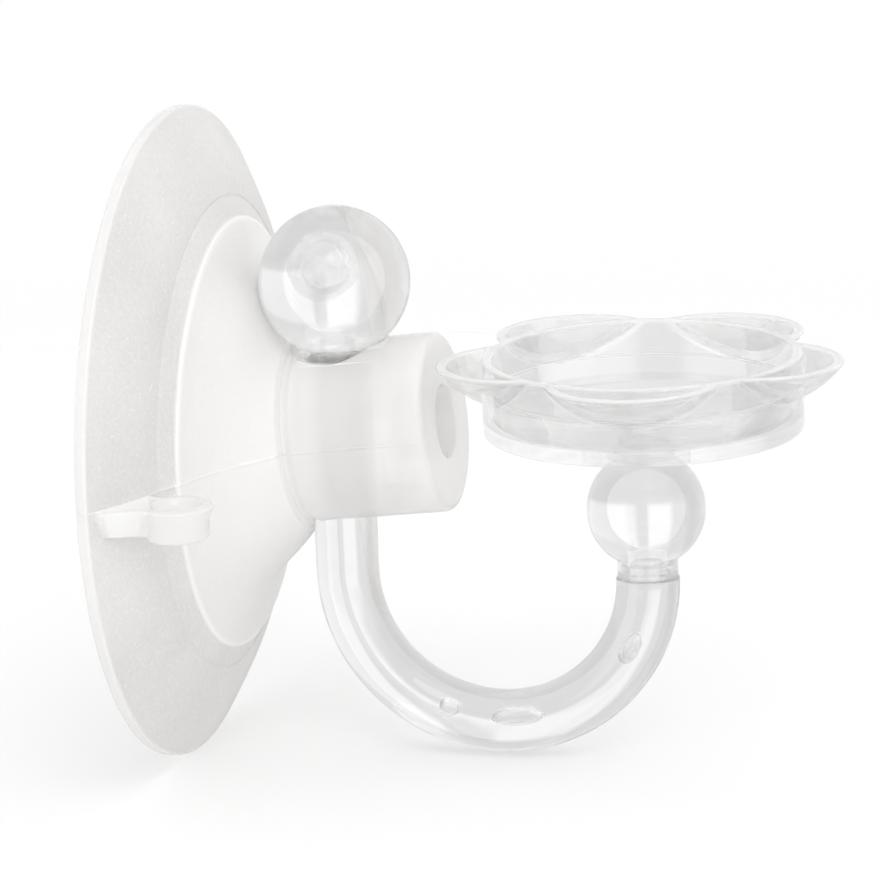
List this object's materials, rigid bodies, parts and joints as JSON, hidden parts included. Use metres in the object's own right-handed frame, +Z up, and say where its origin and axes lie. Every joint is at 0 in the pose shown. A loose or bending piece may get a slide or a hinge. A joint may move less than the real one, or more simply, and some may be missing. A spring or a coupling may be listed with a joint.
{
  "type": "razor holder",
  "caption": "Clear suction-cup wall holder with a swan-neck arm that swivels and carries a small flower-shaped open dish on a bead.",
  "frame": {"origin": "middle of the circle where the cup's rim meets the wall", "axes": "+X out from the wall along the cup's axis, +Z up along the arm's swivel axis"},
  "size_m": [0.0622, 0.06, 0.06],
  "materials": {
    "soft_clear": "soft clear vinyl, frosted on the flange and glossy on the dome and boss",
    "rigid_clear": "clear moulded plastic, glossy"
  },
  "bodies": {
    "cup": {"suction_cup": "soft_clear"},
    "arm": {"swan_neck_arm": "rigid_clear", "ball_finial": "rigid_clear", "bead_coupler": "rigid_clear", "flower_dish": "rigid_clear"}
  },
  "joints": [
    {"name": "arm_swivel", "type": "hinge", "parent": "cup", "child": "arm", "pos_m": [0.0153, 0, 0], "axis": [0, 0, 1], "range_deg": [-75, 75]}
  ]
}
